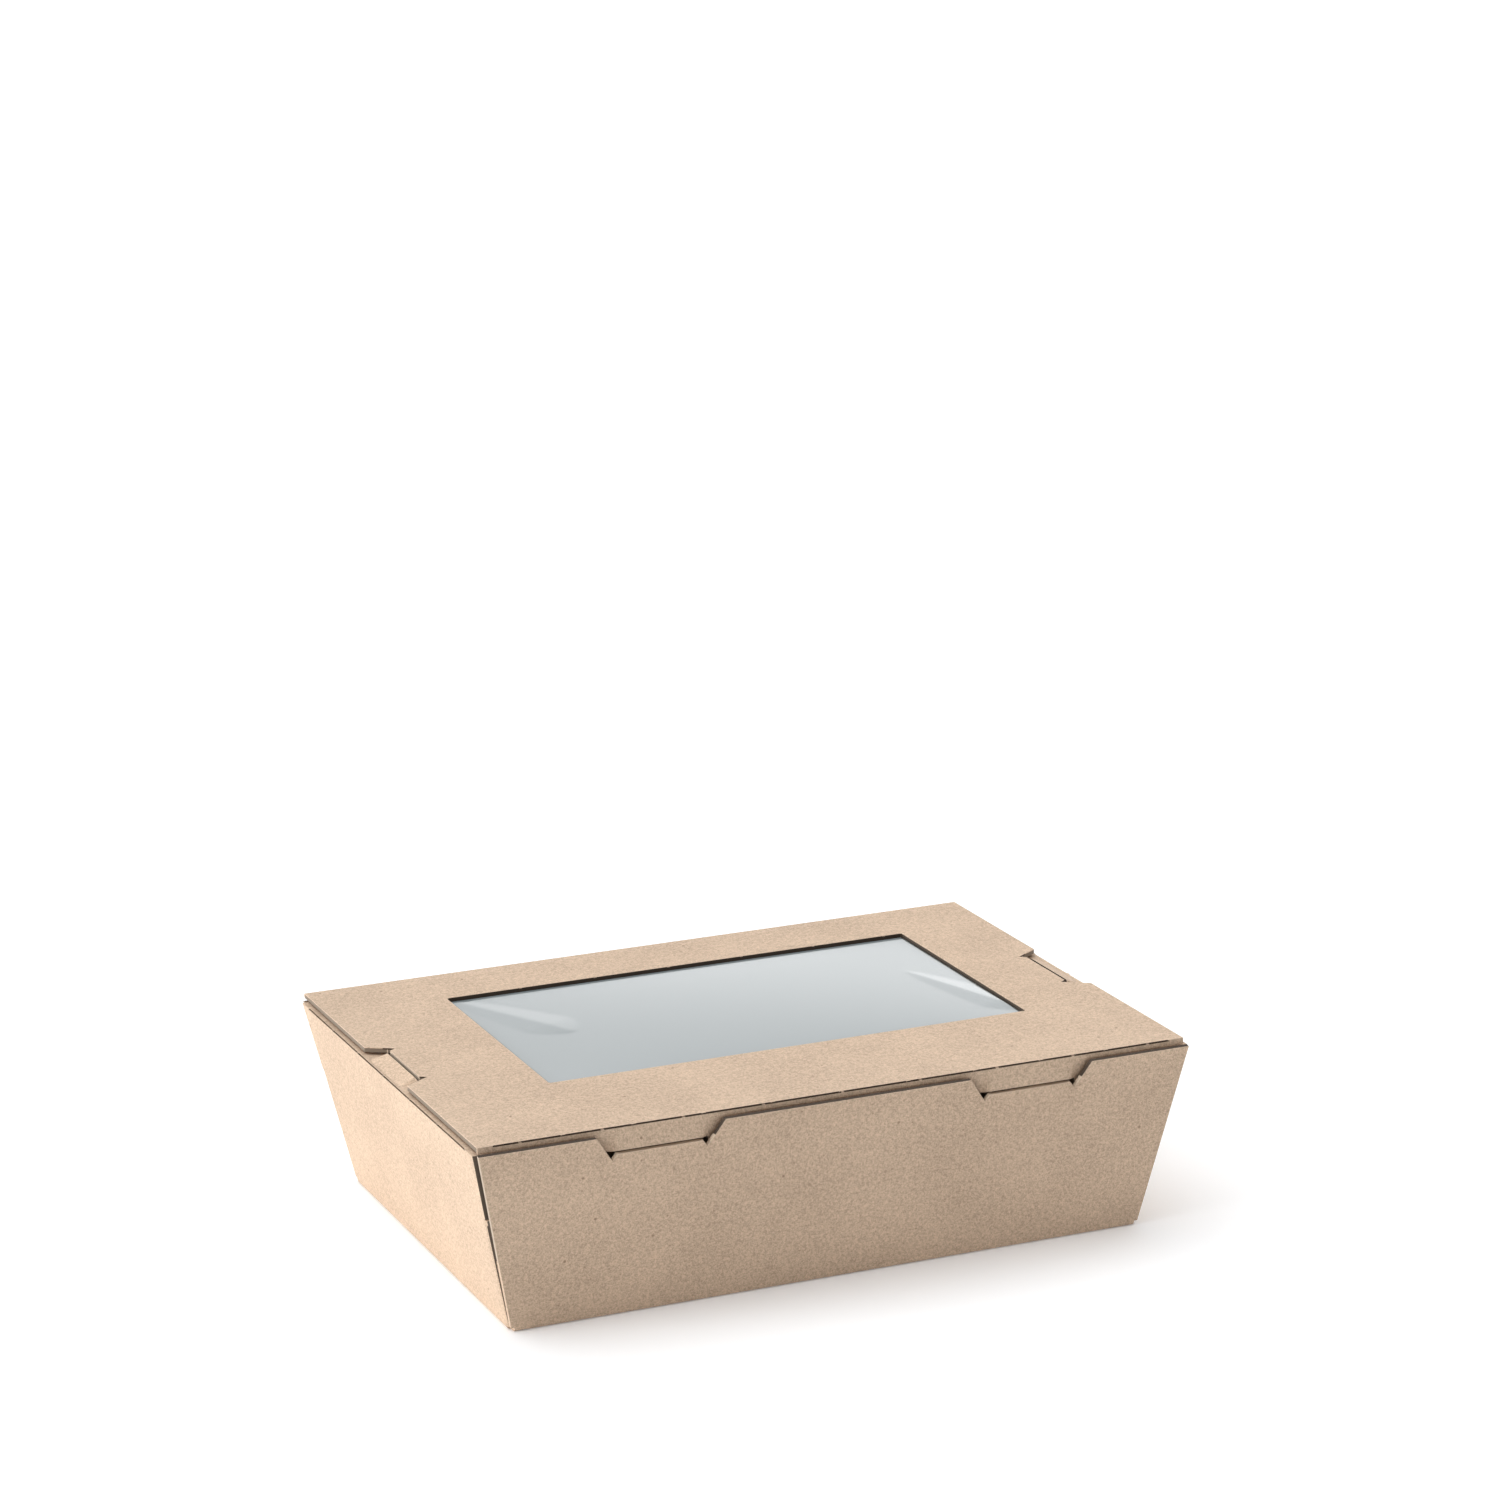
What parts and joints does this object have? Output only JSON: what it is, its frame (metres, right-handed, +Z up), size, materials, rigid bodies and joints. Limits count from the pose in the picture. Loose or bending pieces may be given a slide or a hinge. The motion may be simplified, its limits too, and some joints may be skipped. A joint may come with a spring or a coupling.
{
  "type": "window lunch box",
  "caption": "Folded kraft board lunch box with leaning walls and a hinged lid, which has a film window, a front tuck flap and notched cut-outs filled by tabs.",
  "frame": {"origin": "middle of the box's outside length and depth, on the base's underside", "axes": "+X along the length towards the box's right, +Y from the front towards the hinge, +Z up"},
  "size_m": [0.195, 0.1388, 0.0518],
  "materials": {
    "board": "uncoated kraft board",
    "film": "clear gloss film"
  },
  "bodies": {
    "tray": {"tray": "board"},
    "lid": {"lid": "board", "window_film": "film"}
  },
  "joints": [
    {"name": "lid_hinge", "type": "hinge", "parent": "tray", "child": "lid", "pos_m": [0, 0.06877, 0.05112], "axis": [-1, 0, 0], "range_deg": [0, 180]}
  ]
}
